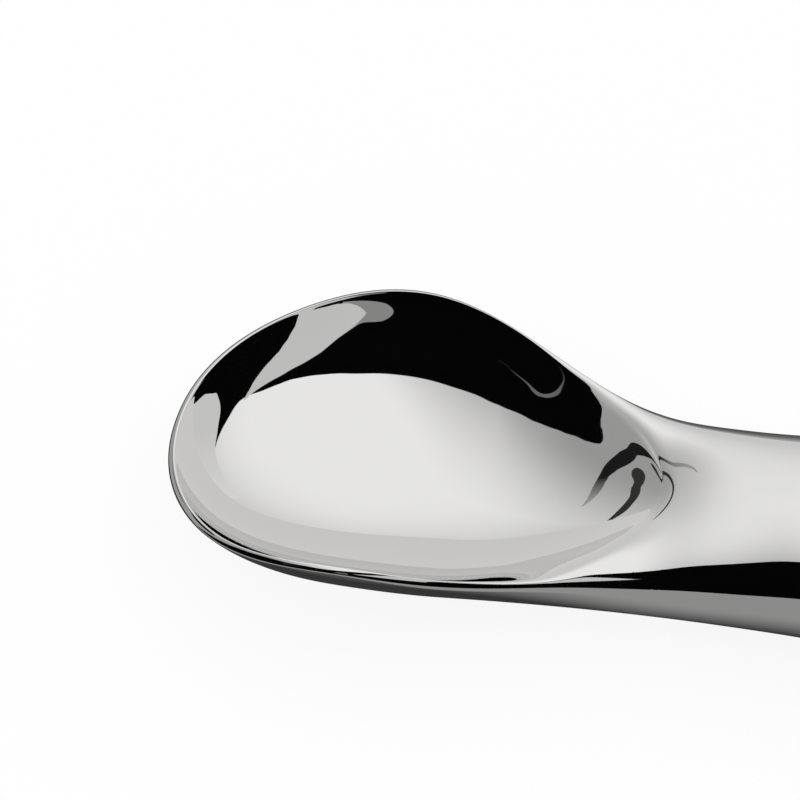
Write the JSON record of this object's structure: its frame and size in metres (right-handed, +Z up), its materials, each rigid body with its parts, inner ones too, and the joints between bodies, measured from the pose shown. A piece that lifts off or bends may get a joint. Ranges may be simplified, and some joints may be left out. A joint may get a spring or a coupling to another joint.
{
  "type": "ice cream spade",
  "caption": "Mirror polished steel ice cream spade with a shallow oval bowl, a crisp crease behind it and a stout hollow handle with a rounded butt.",
  "frame": {"origin": "on the table, midway along the spade's length and on its middle line", "axes": "+X from the tip of the bowl to the butt of the handle, +Z up from the table, bowl opening up"},
  "size_m": [0.2, 0.0516, 0.0245],
  "materials": {
    "polished_steel": "mirror polished stainless steel",
    "handle_filling": "set cement filling, matt"
  },
  "bodies": {
    "root": {"spade_head": "polished_steel", "handle_upper_shell": "polished_steel", "handle_lower_shell": "polished_steel", "handle_core": "handle_filling", "filler_plug": "polished_steel"}
  },
  "joints": []
}
